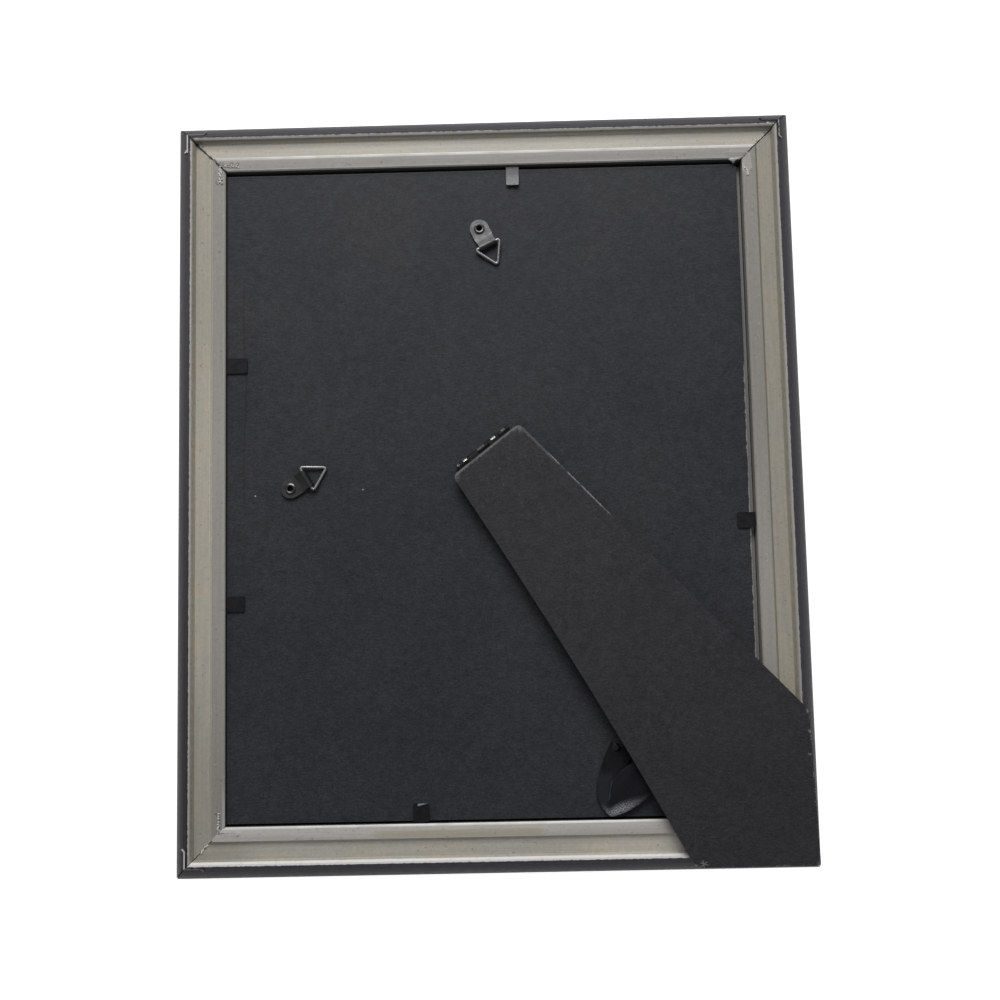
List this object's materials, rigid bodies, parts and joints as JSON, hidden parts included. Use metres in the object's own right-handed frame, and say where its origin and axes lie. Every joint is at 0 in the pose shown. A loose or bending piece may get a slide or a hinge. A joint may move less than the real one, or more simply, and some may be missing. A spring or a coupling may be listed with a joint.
{
  "type": "picture frame",
  "caption": "Mitred picture frame with glass, a backing board held by flexible points, swivelling strap hangers and a hinged easel leg with a ribbon stay.",
  "frame": {"origin": "middle of the front rim's plane, which the frame lies on face down", "axes": "+X right and +Y up as seen from behind in portrait, +Z out of the back; +Y is the longest side and +Z the thinnest"},
  "size_m": [0.2448, 0.2956, 0.0185],
  "materials": {
    "moulding": "extruded moulding, bare beige-grey back, black on its front and sides",
    "nail_steel": "bright steel strip",
    "point_steel": "blackened spring steel",
    "glazing": "clear float glass",
    "insert_paper": "blank grey card",
    "backing": "black paper-faced backing board, matt",
    "leg_board": "black paper-faced board, edges scuffed pale",
    "eyelet_steel": "rolled steel eyelet",
    "strap_steel": "dark steel strap",
    "ring_steel": "bright wire ring",
    "hinge_steel": "black enamelled steel, worn at the knuckles",
    "ribbon": "black satin ribbon",
    "rivet_steel": "steel rivet"
  },
  "bodies": {
    "frame": {"moulding_top": "moulding", "moulding_bottom": "moulding", "moulding_left": "moulding", "moulding_right": "moulding", "v_nail_bottom_left_outer": "nail_steel", "v_nail_bottom_left_inner": "nail_steel", "v_nail_bottom_right_outer": "nail_steel", "v_nail_bottom_right_inner": "nail_steel", "v_nail_top_right_outer": "nail_steel", "v_nail_top_right_inner": "nail_steel", "v_nail_top_left_outer": "nail_steel", "v_nail_top_left_inner": "nail_steel", "flex_point_top_root": "point_steel", "flex_point_left_upper_root": "point_steel", "flex_point_left_lower_root": "point_steel", "flex_point_right_root": "point_steel", "flex_point_bottom_root": "point_steel", "glazing_sheet": "glazing", "insert_sheet": "insert_paper", "backing_board": "backing", "hanger_top_eyelet": "eyelet_steel", "hanger_side_eyelet": "eyelet_steel", "hinge_board_leaf": "hinge_steel", "hinge_pin": "hinge_steel", "ribbon_stay": "ribbon", "ribbon_board_rivet": "rivet_steel"},
    "leg": {"easel_leg": "leg_board", "hinge_leg_leaf": "hinge_steel", "ribbon_leg_rivet": "rivet_steel"},
    "strap_top": {"hanger_top_strap": "strap_steel"},
    "ring_top": {"hanger_top_ring": "ring_steel"},
    "strap_side": {"hanger_side_strap": "strap_steel"},
    "ring_side": {"hanger_side_ring": "ring_steel"},
    "point_top": {"flex_point_top_blade": "point_steel"},
    "point_left_upper": {"flex_point_left_upper_blade": "point_steel"},
    "point_left_lower": {"flex_point_left_lower_blade": "point_steel"},
    "point_right": {"flex_point_right_blade": "point_steel"},
    "point_bottom": {"flex_point_bottom_blade": "point_steel"}
  },
  "joints": [
    {"name": "easel_hinge", "type": "hinge", "parent": "frame", "child": "leg", "pos_m": [-0.00215, 0.01465, 0.01191], "axis": [-0.7934, -0.6088, 0], "range_deg": [0, 23], "deforming": ["ribbon_stay"]},
    {"name": "hanger_top_swivel", "type": "hinge", "parent": "frame", "child": "strap_top", "pos_m": [-0.002, 0.10244, 0.0107], "axis": [0, 0, 1], "continuous": true},
    {"name": "hanger_top_ring_flap", "type": "hinge", "parent": "strap_top", "child": "ring_top", "pos_m": [0.00114, 0.09586, 0.01213], "axis": [-0.9026, -0.4305, 0], "range_deg": [0, 135]},
    {"name": "hanger_side_swivel", "type": "hinge", "parent": "frame", "child": "strap_side", "pos_m": [-0.07745, 0.0003, 0.0107], "axis": [0, 0, 1], "continuous": true},
    {"name": "hanger_side_ring_flap", "type": "hinge", "parent": "strap_side", "child": "ring_side", "pos_m": [-0.07113, 0.00394, 0.01213], "axis": [0.5, -0.866, 0], "range_deg": [0, 135]},
    {"name": "point_top_bend", "type": "hinge", "parent": "frame", "child": "point_top", "pos_m": [0.0116, 0.12785, 0.0109], "axis": [-1, 0, 0], "range_deg": [0, 75]},
    {"name": "point_left_upper_bend", "type": "hinge", "parent": "frame", "child": "point_left_upper", "pos_m": [-0.10245, 0.0495, 0.0109], "axis": [0, -1, 0], "range_deg": [0, 75]},
    {"name": "point_left_lower_bend", "type": "hinge", "parent": "frame", "child": "point_left_lower", "pos_m": [-0.10245, -0.044, 0.0109], "axis": [0, -1, 0], "range_deg": [0, 75]},
    {"name": "point_right_bend", "type": "hinge", "parent": "frame", "child": "point_right", "pos_m": [0.10245, -0.0157, 0.0109], "axis": [0, 1, 0], "range_deg": [0, 75]},
    {"name": "point_bottom_bend", "type": "hinge", "parent": "frame", "child": "point_bottom", "pos_m": [-0.0284, -0.12785, 0.0109], "axis": [1, 0, 0], "range_deg": [0, 75]}
  ]
}
